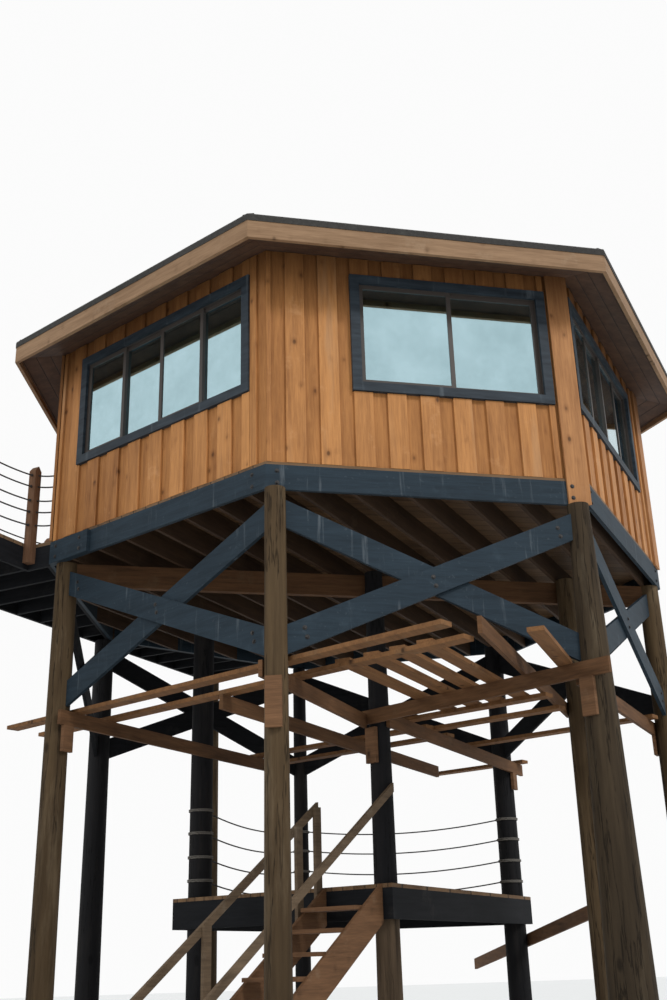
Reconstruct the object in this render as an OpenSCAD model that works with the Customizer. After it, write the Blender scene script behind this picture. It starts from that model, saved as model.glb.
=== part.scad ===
// Seven-sided cabin on log posts, with an entry deck at floor level, a low landing
// with a stair, and an unfinished timber grid half way up. Millimetres, +Z up.
// The origin is the foot of the centre post. The front wall faces -Y.

/* [Cabin] */
// Length of one wall, corner to corner
wall_run = 3050; // [2850:10:3600]
// Height of the cabin floor beams' top above the ground
floor_z = 5705; // [5400:5:6400]
// Height of the walls at their outer face, from the beams' top
wall_h = 2245; // [2190:5:2600]
// Thickness of the walls behind the boards
wall_t = 115; // [100:5:160]
// Depth of the board relief that the outer boards take up
board_relief = 25; // [15:1:40]
// Thickness of the cabin floor
floor_t = 25; // [18:1:40]
// Width of the corner boards
corner_w = 210; // [150:5:240]
// Thickness of the corner boards
corner_t = 25; // [15:1:35]

/* [Roof] */
// How far the roof reaches beyond the walls
eave = 485; // [300:5:700]
// Rise of the roof for each unit of run
roof_pitch = 0.333; // [0.2:0.001:0.5]
// Thickness of the roof covering with its boards
cover_t = 58; // [40:1:90]
// Depth of the rafters
rafter_h = 118; // [90:1:160]
// Thickness of the soffit boards
soffit_t = 20; // [12:1:30]
// Depth of the eave fascia
fascia_h = 180; // [150:5:220]

/* [Windows] */
// Height of the window trim's lower edge above the floor beams' top
sill_up = 795; // [600:5:900]
// Height of a window over its trim
window_h = 1255; // [900:5:1270]
// Width of the trim boards
trim_w = 92; // [60:1:110]
// Thickness of the trim boards in front of the wall's outer face
trim_proud = 20; // [12:1:30]
// Width of the sash members
sash_w = 42; // [30:1:60]
// Width of the two-light windows over their trim
front_window_w = 1990; // [1500:10:2030]
// Gap between the front window's trim and the corner board
front_gap = 27; // [5:1:200]
// Width of the four-light windows over their trim
wide_window_w = 2500; // [2000:10:2540]
// Distance of the left window's trim from the front left corner
left_gap = 200; // [150:5:250]
// Distance of the right window's trim from the front right corner
right_gap = 50; // [40:5:200]

/* [Door] */
// Width of the entry door
door_w = 860; // [700:10:1000]
// Height of the wall over the entry door's opening
door_head = 190; // [120:5:400]

/* [Posts] */
// Diameter of a log post at its foot
post_d = 250; // [220:1:300]
// Diameter of a log post under the beams
post_top_d = 200; // [180:1:220]
// How much thicker the front right log is at its foot
stout = 200; // [0:10:220]

/* [Timber] */
// Thickness of all planks and joists
plank = 38; // [30:1:50]
// Depth of beams, joists and braces
beam_h = 235; // [200:1:260]
// Depth of the grid timbers
grid_h = 140; // [100:1:150]
// Depth of the landing fascia and the stair strings
deep_h = 286; // [240:1:300]
// Distance from one joist to the next
joist_step = 406; // [300:1:610]

/* [Bracing] */
// Height of the braces' upper ends below the beams
brace_drop = 60; // [20:5:100]
// Height between the upper and the lower ends of a brace
brace_rise = 1220; // [1000:10:1300]

/* [Entry deck] */
// Gap between the cabin's rear left corner and the deck's far edge
deck_neck = 205; // [150:5:400]
// Length of the walkway beyond the cabin
walk_len = 2400; // [1600:10:3200]
// Height of the railing posts above the beams' top
rail_up = 915; // [840:5:1100]
// Side of the square railing posts
rail_post = 89; // [70:1:110]
// Diameter of the ropes
rope_d = 16; // [10:1:20]
// Sag of a rope for each unit of its length
rope_sag = 0.035; // [0.02:0.005:0.05]

/* [Landing and stair] */
// Height of the landing boards' top above the ground
landing_z = 2275; // [2000:5:2500]
// Width of the stair between its strings
stair_w = 670; // [600:10:760]
// Rise of the stair for each unit of run
stair_slope = 0.7375; // [0.65:0.0025:0.8]
// Height of one step
step_rise = 200; // [170:1:220]
// Depth of a tread
tread_w = 240; // [200:5:260]
// Height of the handrails above the strings
handrail_up = 756; // [700:1:850]

/* [Hidden] */

SIDES = 7;
TURN = 360 / SIDES;
HALF = TURN / 2;
// Clearance between pieces that seat on each other
FIT = 0.3;
FAR = 20000;

apothem = wall_run / 2 / tan(HALF);
beam_z = floor_z - beam_h;
floor_top = floor_z + floor_t;
wall_top = floor_z + wall_h;
wall_in = board_relief + wall_t;

TIMBER = "#8a6540";
FRESH = "#b9824f";
PAINT = "#3f4c57";
BLACK = "#26282b";
SIDING = "#c07a3c";
LOG = "#7a6247";
ROPE = "#3a342e";

// Joists and planks run along JOIST_WAY or along BEARER_WAY
JOIST_WAY = TURN;
BEARER_WAY = 180 - TURN;

function unit(w) = [cos(w), sin(w)];
function heading(p, q) = atan2(q[1] - p[1], q[0] - p[0]);
function toward(p, q, d) = p + d * unit(heading(p, q));
// Where the line through p with heading w meets the line through q with heading v
function cross_at(p, w, q, v) = let (d = q - p, e = unit(v), k = unit(w))
    p + (d[0] * e[1] - d[1] * e[0]) / (k[0] * e[1] - k[1] * e[0]) * k;
// Points of a counter-clockwise outline moved inwards by d along both edges that meet there
function inset(pts, d) = [for (i = [0 : len(pts) - 1])
    let (n = len(pts), a = pts[(i + n - 1) % n], b = pts[i], c = pts[(i + 1) % n],
        w = heading(a, b), v = heading(b, c))
    cross_at(b + d * unit(w + 90), w, b + d * unit(v + 90), v)];
// The cabin's middle lies behind and beside the centre post
middle = [wall_run * 0.0066, wall_run * 0.3115];
// Corner k of the heptagon at a given apothem: 0 is front left, then clockwise from above
function corner(k, a) = let (r = a / cos(HALF)) middle + r * unit(-90 - HALF - TURN * k);

// Posts by number: plan place of the axis, foot diameter, head diameter
FRONT_LEFT = 0;
LEFT = 1;
REAR_LEFT = 2;
REAR = 3;
REAR_RIGHT = 4;
RIGHT = 5;
FRONT_RIGHT = 6;
CENTRE = 7;
INNER = 8;
GIRDER = 9;
posts = [
    [corner(0, apothem) + [85, 0], post_d - 20, post_top_d - 15],
    [corner(1, apothem) + [177, -38], post_d + 5, post_top_d + 20],
    [corner(2, apothem) + [-70, 20], post_d + 40, post_top_d + 40],
    [corner(3, apothem) + [-60, -40], post_d - 30, post_top_d - 30],
    [corner(4, apothem) + [-380, -150], post_d + 40, post_top_d + 30],
    [corner(5, apothem) + [-177, -38], post_d + 5, post_top_d + 20],
    [corner(6, apothem) + [-115, 10], post_d + stout, post_top_d],
    [[0, 0], post_d + 10, post_top_d - 10],
    [wall_run * 0.854 * unit(BEARER_WAY), post_d + 30, post_top_d + 40],
    [[middle[0] + 2190, 0], post_d + 20, post_top_d + 20]
];
function foot(i) = posts[i][0];
function radius(i, z) = (posts[i][1] + (posts[i][2] - posts[i][1]) * z / beam_z) / 2;
// The place beside post i of the middle line of a plank t thick with heading w, on its side +1 or -1,
// whose lower edge is on height z
function beside(i, w, side, z, t) = foot(i) + side * (radius(i, z) + t / 2 + FIT) * unit(w + 90);

// Post i as a tapering log, grown by g all round
module log_post(i, g = 0) {
    h = beam_z + (g > 0 ? 10 : -FIT);
    translate([foot(i)[0], foot(i)[1], 0])
        cylinder(r1 = radius(i, 0) + g, r2 = radius(i, h) + g, h = h, $fn = 64);
}

// A straight plank from plan point p to plan point q, lying t wide and h deep on height z
module board(p, q, z, t, h) {
    translate([p[0], p[1], z]) rotate([0, 0, heading(p, q)])
        translate([0, -t / 2, 0]) cube([norm(q - p), t, h]);
}

// Children placed in the frame of wall j: 0 is the front wall, then clockwise from above.
// There X runs along the wall, Y goes inwards from its outer face, and Z is up.
module on_wall(j) {
    translate([middle[0], middle[1], 0]) rotate([0, 0, -TURN * j]) translate([0, -apothem, 0]) children();
}

// The wedge of the plan that belongs to one wall, with a mitre gap, in the wall's frame
module wedge(gap, z0, z1) {
    translate([0, apothem - gap / 2 / sin(HALF), z0]) linear_extrude(z1 - z0)
        polygon([[0, 0], [-FAR * tan(HALF), -FAR], [FAR * tan(HALF), -FAR]]);
}

// A profile of [y, z] points carried along a wall and mitred to its neighbours
module along_wall(profile, gap) {
    zs = [for (p = profile) p[1]];
    intersection() {
        translate([-FAR / 4, 0, 0]) rotate([90, 0, 90]) linear_extrude(FAR / 2) polygon(profile);
        wedge(gap, min(zs) - 10, max(zs) + 10);
    }
}

// A heptagonal slab over the cabin's plan
module slab(a, z, h) {
    translate([middle[0], middle[1], z]) rotate([0, 0, -90 - HALF])
        cylinder(r = a / cos(HALF), h = h, $fn = SIDES);
}

// The doubled girder carries the joists; the posts that it crosses are cut for it
girder_z = beam_z - beam_h - FIT;
girder_y = radius(CENTRE, girder_z) - 12;
module girder_room(g) {
    x0 = foot(LEFT)[0];
    x1 = foot(RIGHT)[0];
    translate([x0 - g, girder_y - g, girder_z - g])
        cube([x1 - x0 + 2 * g, 2 * plank + 2 * g, beam_h + 2 * g + FIT]);
}

module post_front_left() color(LOG) log_post(FRONT_LEFT);
module post_front_right() color(LOG) log_post(FRONT_RIGHT);
module side_posts() color(LOG) difference() {
    for (i = [LEFT, RIGHT]) log_post(i);
    girder_room(FIT);
}
module rear_posts() color(BLACK) for (i = [REAR_LEFT, REAR, REAR_RIGHT]) log_post(i);
module centre_post() color(BLACK) difference() {
    log_post(CENTRE);
    girder_room(FIT);
}
module landing_post() color(BLACK) log_post(INNER);
module girder_post() color(LOG) difference() {
    log_post(GIRDER);
    girder_room(FIT);
}

// Ring beams under the walls, one plank on each side, with a doubler beside the entry
module ring_beams() color(PAINT) {
    for (j = [0 : SIDES - 1])
        on_wall(j) along_wall([[0, beam_z], [plank, beam_z], [plank, floor_z], [0, floor_z]], FIT);
    on_wall(1) translate([-wall_run / 2 + 30, -plank - FIT, beam_z]) cube([600, plank, beam_h]);
}

module girder() color(TIMBER)
    for (k = [0, 1]) translate([foot(LEFT)[0], girder_y + k * plank, girder_z])
        cube([foot(RIGHT)[0] - foot(LEFT)[0], plank, beam_h]);

// Floor joists inside the ring, one of them over the centre post
module floor_joists() color(TIMBER) intersection() {
    slab(apothem - plank - FIT, beam_z, beam_h - FIT);
    rotate([0, 0, JOIST_WAY])
        for (i = [-14 : 14]) translate([-FAR / 4, i * joist_step - plank / 2, beam_z])
            cube([FAR / 2, plank, beam_h]);
}

module cabin_floor() color(FRESH) slab(apothem, floor_z, floor_t);

// Braces of one bay: they run between the posts' axes and cross in two planes
brace_top = beam_z - brace_drop;
brace_low = brace_top - brace_rise;
module brace(p, q, z0, z1, s) {
    run = norm(q - p);
    depth = beam_h / cos(atan2(z1 - z0, run));
    side = s * unit(heading(p, q) + 90);
    translate([p[0] + side[0], p[1] + side[1], 0]) rotate([0, 0, heading(p, q)])
        translate([0, plank / 2, 0]) rotate([90, 0, 0]) linear_extrude(plank)
            polygon([[0, z0], [0, z0 - depth], [run, z1 - depth], [run, z1]]);
}

module brace_pair(i, j, outer_rises) {
    s = (plank + FIT) / 2;
    za = outer_rises ? brace_low : brace_top;
    zb = outer_rises ? brace_top : brace_low;
    difference() {
        union() {
            brace(foot(i), foot(j), za, zb, -s);
            brace(foot(i), foot(j), zb, za, s);
        }
        log_post(i, FIT);
        log_post(j, FIT);
    }
}

module braces_front() color(PAINT) brace_pair(FRONT_LEFT, FRONT_RIGHT, true);
module braces_left() color(PAINT) brace_pair(LEFT, FRONT_LEFT, false);
module braces_right() color(PAINT) brace_pair(FRONT_RIGHT, RIGHT, false);
module braces_rear() color(BLACK) {
    brace_pair(REAR_LEFT, LEFT, true);
    brace_pair(REAR, REAR_LEFT, true);
    brace_pair(REAR_RIGHT, REAR, true);
    brace_pair(RIGHT, REAR_RIGHT, true);
}

// A wall with sloped top and mitred ends
module wall_body() {
    along_wall([[board_relief, floor_top], [wall_in, floor_top],
        [wall_in, wall_top + wall_in * roof_pitch], [board_relief, wall_top + board_relief * roof_pitch]], FIT);
}

// The opening behind the trim of a window that is w wide with its middle at x
module window_hole(x, w) {
    lap = trim_w / 2;
    translate([x - w / 2 + lap, -10, floor_z + sill_up + lap])
        cube([w - trim_w, wall_in + 20, window_h - trim_w]);
}

front_window_x = wall_run / 2 - corner_w - front_gap - front_window_w / 2;
left_window_x = wall_run / 2 - left_gap - wide_window_w / 2;
right_window_x = -wall_run / 2 + right_gap + wide_window_w / 2;
door_x = 430;
door_h = wall_h - floor_t - door_head;
module door_hole() {
    translate([door_x - door_w / 2, -10, floor_top - 1])
        cube([door_w, wall_in + 20, door_h + 1]);
}

module wall_front() color(SIDING) on_wall(0) difference() {
    wall_body();
    window_hole(front_window_x, front_window_w);
}
module wall_left() color(SIDING) on_wall(1) difference() {
    wall_body();
    window_hole(left_window_x, wide_window_w);
}
module wall_entry() color(SIDING) on_wall(2) difference() {
    wall_body();
    door_hole();
}
module walls_rear() color(SIDING) for (j = [3 : 5]) on_wall(j) difference() {
    wall_body();
    window_hole(0, front_window_w);
}
module wall_right() color(SIDING) on_wall(6) difference() {
    wall_body();
    window_hole(right_window_x, wide_window_w);
}

// Trim and jambs of a window: the trim lies on the wall, the jambs in its opening
sash_t = 26;
track_y = board_relief - 7;
module window_frame(x, w, lights) {
    lap = trim_w / 2;
    hole_w = w - trim_w - 2 * FIT;
    hole_h = window_h - trim_w - 2 * FIT;
    translate([x, 0, floor_z + sill_up]) {
        difference() {
            union() {
                translate([-w / 2, -trim_proud, 0]) cube([w, trim_proud + board_relief - FIT, window_h]);
                translate([-hole_w / 2, 0, lap + FIT]) cube([hole_w, track_y + 2 * sash_t + 12, hole_h]);
            }
            translate([-w / 2 + trim_w, -trim_proud - 1, trim_w])
                cube([w - 2 * trim_w, FAR, window_h - 2 * trim_w]);
        }
        sashes(w - 2 * trim_w, window_h - 2 * trim_w, lights);
    }
}

// Sliding lights side by side in two tracks, each lapping half a member over its neighbour
function light_x(w, lights, i) = -w / 2 + i * w / lights - (i > 0 ? sash_w / 2 : 0);
function light_w(w, lights, i) = w / lights + (i > 0 ? sash_w / 2 : 0) + (i < lights - 1 ? sash_w / 2 : 0);
module sashes(w, h, lights) {
    for (i = [0 : lights - 1])
        translate([light_x(w, lights, i), track_y + (i % 2) * sash_t, trim_w]) difference() {
            cube([light_w(w, lights, i), sash_t, h]);
            translate([sash_w, -1, sash_w])
                cube([light_w(w, lights, i) - 2 * sash_w, sash_t + 2, h - 2 * sash_w]);
        }
}

pane_t = 6;
module panes(x, w, lights) {
    iw = w - 2 * trim_w;
    ih = window_h - 2 * trim_w;
    translate([x, 0, floor_z + sill_up])
        for (i = [0 : lights - 1])
            translate([light_x(iw, lights, i) + sash_w + FIT,
                track_y + (i % 2) * sash_t + (sash_t - pane_t) / 2, trim_w + sash_w + FIT])
                cube([light_w(iw, lights, i) - 2 * sash_w - 2 * FIT, pane_t, ih - 2 * sash_w - 2 * FIT]);
}

module window_front() color(PAINT) on_wall(0) window_frame(front_window_x, front_window_w, 2);
module window_left() color(PAINT) on_wall(1) window_frame(left_window_x, wide_window_w, 4);
module window_right() color(PAINT) on_wall(6) window_frame(right_window_x, wide_window_w, 4);
module windows_rear() color(PAINT) for (j = [3 : 5]) on_wall(j) window_frame(0, front_window_w, 2);
module window_glass() color("#9fc4cf") {
    on_wall(0) panes(front_window_x, front_window_w, 2);
    on_wall(1) panes(left_window_x, wide_window_w, 4);
    on_wall(6) panes(right_window_x, wide_window_w, 4);
    for (j = [3 : 5]) on_wall(j) panes(0, front_window_w, 2);
}

// The entry door, closed: a leaf in its lining, with trim on the wall above the deck boards
deck_rise = plank + 1;
module entry_door() color(TIMBER) on_wall(2) {
    lining = 30;
    leaf_y = 45;
    w = door_w - 2 * FIT;
    translate([door_x, 0, floor_top + FIT]) {
        difference() {
            union() {
                translate([-w / 2, 0, 0]) cube([w, wall_in, door_h - 2 * FIT]);
                translate([-w / 2 - trim_w, -trim_proud, deck_rise])
                    cube([w + 2 * trim_w, trim_proud + board_relief - FIT, door_h + trim_w - deck_rise]);
            }
            translate([-w / 2 + lining, -trim_proud - 1, lining])
                cube([w - 2 * lining, trim_proud + 1 + leaf_y, door_h - 2 * lining]);
            translate([-w / 2 + lining, 2 * leaf_y, lining]) cube([w - 2 * lining, FAR, door_h - 2 * lining]);
        }
        translate([w / 2 - lining - 90, leaf_y - 35, door_h * 0.48]) cube([26, 36, 150]);
    }
}

// Corner boards: a wide one at the right end of each front but the left one's
module corner_boards() color(FRESH)
    for (j = [0, 2, 3, 4, 5, 6]) {
        z0 = j == 0 ? beam_z : (j == 2 || j == 3) ? floor_z + deck_rise : floor_z;
        on_wall(j) intersection() {
            translate([wall_run / 2 - corner_w, -corner_t - FIT, z0])
                cube([corner_w + 40, corner_t, wall_top - z0 - FIT - (corner_t + FIT) * roof_pitch]);
            wedge(0, 0, FAR);
        }
    }

// Roof: covering, hip and common rafters, sloping soffit that is also the ceiling, and eave fascia
function roof_line(y, drop) = wall_top + rafter_h + soffit_t + cover_t + y * roof_pitch - drop;
fascia_y = -eave + 6;
module roof_cover() color("#2f2d2b")
    for (j = [0 : SIDES - 1]) on_wall(j)
        along_wall([[-eave, roof_line(-eave, 0)], [-eave, roof_line(-eave, cover_t)],
            [apothem, roof_line(apothem, cover_t)], [apothem, roof_line(apothem, 0)]], FIT);

rafter_y = fascia_y + plank + FIT;
module roof_soffit() color(SIDING)
    for (j = [0 : SIDES - 1]) on_wall(j)
        along_wall([[rafter_y, roof_line(rafter_y, cover_t + rafter_h)],
            [rafter_y, roof_line(rafter_y, cover_t + rafter_h + soffit_t)],
            [apothem, roof_line(apothem, cover_t + rafter_h + soffit_t)],
            [apothem, roof_line(apothem, cover_t + rafter_h)]], FIT);

module roof_fascia() color(FRESH)
    for (j = [0 : SIDES - 1]) on_wall(j) {
        top = roof_line(fascia_y, cover_t + FIT);
        low = roof_line(-eave, cover_t) - fascia_h;
        along_wall([[fascia_y, top], [fascia_y, low], [fascia_y + plank, low], [fascia_y + plank, top]], FIT);
    }

rafter_x = 610;
hub_r = 120;
module rafter(x, y1) {
    translate([x - plank / 2, 0, 0]) rotate([90, 0, 90]) linear_extrude(plank)
        polygon([[rafter_y, roof_line(rafter_y, cover_t + FIT)],
            [rafter_y, roof_line(rafter_y, cover_t + rafter_h - FIT)],
            [y1, roof_line(y1, cover_t + rafter_h - FIT)], [y1, roof_line(y1, cover_t + FIT)]]);
}
// Where a rafter x from the wall's middle stops at the hip
function rafter_end(x) = apothem - (abs(x) + plank / 2) / tan(HALF) - (plank / 2 + FIT) / sin(HALF);
module hip(k) {
    drop = plank / 2 * sin(HALF) * roof_pitch;
    r0 = hub_r + FIT;
    r1 = (apothem - rafter_y - plank / 2 * sin(HALF)) / cos(HALF);
    translate([middle[0], middle[1], 0]) rotate([0, 0, -90 - HALF - TURN * k])
        translate([0, plank / 2, 0]) rotate([90, 0, 0]) linear_extrude(plank)
            polygon([for (p = [[r0, cover_t + FIT + drop], [r0, cover_t + rafter_h - FIT],
                [r1, cover_t + rafter_h - FIT], [r1, cover_t + FIT + drop]])
                [p[0], roof_line(apothem - p[0] * cos(HALF), p[1])]]);
}
module roof_rafters() color(TIMBER) {
    for (j = [0 : SIDES - 1]) {
        on_wall(j) {
            rafter(0, apothem - hub_r - FIT);
            for (x = [-rafter_x, rafter_x]) rafter(x, rafter_end(x));
        }
        hip(j);
    }
    hub_low = roof_line(apothem, cover_t + rafter_h - FIT);
    translate([middle[0], middle[1], hub_low])
        cylinder(r = hub_r, h = roof_line(apothem - hub_r, cover_t + FIT) - hub_low, $fn = 64);
}

// The unfinished grid: bearers on edge beside the posts, planks laid flat across them
grid_gap = 2;
grid_z = brace_low - beam_h / cos(atan(brace_rise / (wall_run - 300))) - grid_gap;
edge_z = grid_z - grid_h;
flat_z = grid_z + FIT;
slat_z = flat_z + plank + FIT;
head_z = slat_z - grid_h - FIT;

way_left = heading(foot(LEFT), foot(INNER));
way_front = heading(foot(FRONT_RIGHT), foot(CENTRE));
way_span = heading(foot(FRONT_LEFT), foot(CENTRE));
way_back = heading(foot(CENTRE), foot(REAR_RIGHT));
way_right = heading(foot(FRONT_RIGHT), foot(RIGHT));
way_edge = heading(foot(LEFT), foot(FRONT_LEFT));

left_a = beside(LEFT, way_left, -1, edge_z, plank);
left_b = beside(INNER, way_left, -1, edge_z, plank);
front_a = beside(FRONT_RIGHT, way_front, 1, head_z, plank);
front_b = beside(CENTRE, way_front, 1, head_z, plank);
front_way = heading(front_a, front_b);
span_a = beside(FRONT_LEFT, way_span, 1, edge_z, plank);
span_b = cross_at(span_a, way_span, front_a + plank / 2 * unit(way_front + 90), front_way);
span_short = plank / 2 * tan(abs(way_span - front_way + 90)) + FIT;
back_a = beside(CENTRE, way_back, -1, edge_z, plank);
back_b = beside(REAR_RIGHT, way_back, -1, edge_z, plank);
right_a = beside(FRONT_RIGHT, way_right, 1, edge_z, plank);
right_b = beside(RIGHT, way_right, 1, edge_z, plank);

// The two long flat planks pass inside the left and front left posts
edge_a = beside(LEFT, way_edge, 1, flat_z, grid_h);
edge_b = beside(FRONT_LEFT, way_edge, 1, flat_z, grid_h);
second = wall_run * 0.155 * unit(way_edge + 90);
// The middle bearer hangs under the second long plank and the planks behind it
mid = middle + wall_run * 0.075 * unit(JOIST_WAY + 90);
mid_a = cross_at(mid, JOIST_WAY, edge_a + second, way_edge) - 90 * unit(JOIST_WAY);
mid_b = mid + wall_run * 0.92 * unit(JOIST_WAY);
// The long joist on edge lies on the front bearer and is spiked to the girder post
long_end = beside(GIRDER, way_span, 1, slat_z, plank);
long_x = cross_at(long_end, way_span, front_a, front_way);
rear_plank = radius(REAR_RIGHT, flat_z) + grid_h / 2 + FIT;

module grid_bearers() color(TIMBER) {
    board(toward(left_a, left_b, -130), toward(left_b, left_a, -1250), edge_z, plank, grid_h);
    board(toward(span_a, span_b, -60), toward(span_b, span_a, span_short), edge_z, plank, grid_h);
    board(toward(back_a, back_b, -60), toward(back_b, back_a, -rear_plank - grid_h), edge_z, plank, grid_h);
    board(toward(right_a, right_b, -60), toward(right_b, right_a, -350), edge_z, plank, grid_h);
    board(mid_a, mid_b, edge_z, plank, grid_h);
    board(toward(front_a, front_b, -240), toward(front_b, front_a, -120), head_z, plank, grid_h);
    board(long_end - 3750 * unit(way_span), long_end + 120 * unit(way_span), slat_z, plank, grid_h);
}

function across(p, q, t) = p + t * (q - p);
module flat(p, q, z) board(p, q, z, grid_h, plank);
slats_at = [360, 650, 935, 1260];
module grid_planks() color(FRESH) {
    flat(toward(edge_a, edge_b, -1040), toward(edge_b, edge_a, -1620), flat_z);
    flat(toward(edge_a + second, edge_b + second, -1150), toward(edge_b + second, edge_a + second, -1500), flat_z);
    // Planks between the back bearer and the long joist
    for (t = [0.13, 0.3]) {
        a = across(back_a, back_b, t);
        b = cross_at(a, -TURN, long_end, way_span);
        flat(toward(a, b, -120), toward(b, a, -60), flat_z);
    }
    // Slats from the second long plank over the front bearer
    for (d = slats_at) {
        h = long_x + d * unit(front_way);
        a = cross_at(h, JOIST_WAY, edge_a + second, way_edge);
        b = cross_at(h, JOIST_WAY, across(back_a, back_b, 0.13), -TURN);
        flat(toward(a, b, -60), toward(b, a, -50), slat_z);
    }
    // The loose plank past the front bearer, beside the stout log
    loose = front_a + wall_run * 0.07 * unit(front_way);
    flat(loose - 1280 * unit(way_span), loose + 300 * unit(way_span), slat_z);
    // Planks between the left bearer and the back bearer
    for (t = [0.26, 0.42]) {
        b = across(back_a, back_b, t);
        a = cross_at(b, BEARER_WAY, left_a, heading(left_a, left_b));
        flat(toward(a, b, -80), toward(b, a, -30), flat_z);
    }
    // Planks across the back
    a = across(back_a, back_b, 0.62);
    b = cross_at(a, -TURN, right_a, heading(right_a, right_b));
    flat(toward(a, b, -100), toward(b, a, -90), flat_z);
    c = toward(back_b, back_a, -rear_plank);
    flat(c + 1350 * unit(BEARER_WAY), c - 120 * unit(BEARER_WAY), flat_z);
}

// Cleats nailed to the posts; a tapering post is widest at a cleat's lower end
module cleat(i, w, z, h) {
    translate([foot(i)[0], foot(i)[1], z]) rotate([0, 0, w])
        translate([radius(i, z) + FIT, -grid_h / 2, 0]) cube([plank, grid_h, h]);
}
cleat_h = 420;
module grid_cleats() color(FRESH) {
    cleat(FRONT_LEFT, 250, edge_z - 20 - cleat_h, cleat_h);
    cleat(LEFT, way_left - 90, edge_z - FIT - cleat_h * 0.6, cleat_h * 0.6);
    cleat(CENTRE, way_front + 90, edge_z - FIT - cleat_h * 0.85, cleat_h * 0.85);
    cleat(FRONT_RIGHT, way_front + 90, head_z - FIT - cleat_h * 0.8, cleat_h * 0.8);
    cleat(REAR_RIGHT, way_back - 90, edge_z - FIT - cleat_h * 0.5, cleat_h * 0.5);
    cleat(RIGHT, way_right + 90, edge_z - FIT - cleat_h * 0.5, cleat_h * 0.5);
}

// The long low plank beside the girder post and the rear right post, falling to the rear
module low_brace() color(TIMBER) {
    w = heading(foot(GIRDER), foot(REAR_RIGHT));
    fall = 0.104;
    top = landing_base + 195;
    span = norm(foot(REAR_RIGHT) - foot(GIRDER));
    p = beside(GIRDER, w, -1, top - grid_h, plank);
    q = beside(REAR_RIGHT, w, -1, top - grid_h - fall * span, plank);
    run = norm(q - p);
    translate([p[0], p[1], 0]) rotate([0, 0, heading(p, q)])
        translate([0, plank / 2, 0]) rotate([90, 0, 0]) linear_extrude(plank)
            polygon([for (s = [[-150, 0], [-150, grid_h], [run + 2650, grid_h], [run + 2650, 0]])
                [s[0], top - grid_h + s[1] - fall * s[0]]]);
}

// The landing: fascia planks outside four posts, joists between, boards on top
landing_base = landing_z - plank - deep_h - FIT;
way_l_right = heading(foot(CENTRE), foot(REAR_RIGHT));
way_l_left = heading(foot(INNER), foot(CENTRE));
function outside(i) = radius(i, landing_base) + plank - 2;
right_line = foot(CENTRE) + outside(CENTRE) * unit(way_l_right - 90);
left_line = foot(CENTRE) + outside(CENTRE) * unit(way_l_left - 90);
front_corner = cross_at(right_line, way_l_right, left_line, way_l_left);
right_corner = cross_at(right_line, way_l_right, foot(REAR_RIGHT) + (outside(REAR_RIGHT) + 2 * plank) * unit(way_l_right),
    way_l_right + 90);
left_corner = cross_at(left_line, way_l_left, foot(INNER) - 270 * unit(way_l_left), way_l_left + 90);
rear_w = heading(right_corner, foot(REAR));
rear_v = heading(foot(REAR), left_corner);
rear_corner = cross_at(foot(REAR) + outside(REAR) * unit(rear_w - 90), rear_w,
    foot(REAR) + outside(REAR) * unit(rear_v - 90), rear_v);
landing_outline = [front_corner, right_corner, rear_corner, left_corner];
module landing_clear() {
    for (i = [CENTRE, REAR_RIGHT, REAR, INNER]) log_post(i, FIT);
}
module landing_frame() color(BLACK) difference() {
    translate([0, 0, landing_base]) {
        linear_extrude(deep_h) difference() {
            polygon(landing_outline);
            polygon(inset(landing_outline, plank));
        }
        translate([0, 0, deep_h - grid_h]) linear_extrude(grid_h) intersection() {
            polygon(inset(landing_outline, plank));
            rotate(BEARER_WAY) for (i = [-15 : 15]) translate([-FAR / 4, (i + 0.5) * joist_step])
                square([FAR / 2, plank]);
        }
    }
    landing_clear();
}
module landing_boards() color(TIMBER) difference() {
    translate([0, 0, landing_z - plank]) linear_extrude(plank) polygon(landing_outline);
    landing_clear();
}

// The stair comes up to the landing's front left edge, where its right handrail runs on to the side
// of the centre post
stair_side = radius(CENTRE, landing_z + handrail_up) - plank - FIT;
stair_top = cross_at(foot(CENTRE) + stair_side * unit(way_l_left), way_l_left + 90, front_corner, way_l_left);
module on_stair() {
    translate([stair_top[0], stair_top[1], 0]) rotate([0, 0, way_l_left - 90]) translate([FIT, 0, 0]) children();
}
string_h = deep_h / cos(atan(stair_slope));
function string_top(x) = landing_z - x * stair_slope;
module stair_strings() color(FRESH) on_stair()
    for (y = [0, -stair_w - plank]) translate([0, y, 0])
        rotate([90, 0, 0]) linear_extrude(plank)
            polygon([[0, landing_z], [0, landing_z - string_h], [(landing_z - string_h) / stair_slope, 0],
                [landing_z / stair_slope, 0]]);
steps = floor(landing_z / step_rise - 0.5);
module stair_treads() color(FRESH) on_stair()
    for (i = [1 : steps])
        translate([i * step_rise / stair_slope - tread_w / 2, -plank - stair_w + FIT, landing_z - i * step_rise - plank])
            cube([tread_w, stair_w - 2 * FIT, plank]);

rail_h = 89;
posts_right = [1450, 2450];
posts_left = [10, 300, 1550, 2450];
module stair_rails() color(FRESH) on_stair()
    for (side = [1, -1]) {
        y_post = side > 0 ? FIT : -3 * plank - stair_w - FIT;
        y_rail = side > 0 ? plank + 2 * FIT : -4 * plank - stair_w - 2 * FIT;
        for (x = side > 0 ? posts_right : posts_left) translate([x, y_post, string_top(x) - 0.8 * string_h])
            cube([rail_h, plank, 0.8 * string_h + handrail_up + rail_h * 0.4]);
        upper = side > 0 ? -outside(CENTRE) : 5;
        translate([0, y_rail + plank, 0]) rotate([90, 0, 0]) linear_extrude(plank)
            polygon([for (p = [[upper, 0], [2700, 0], [2700, rail_h], [upper, rail_h]])
                [p[0], string_top(p[0]) + handrail_up + p[1]]]);
    }

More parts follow.
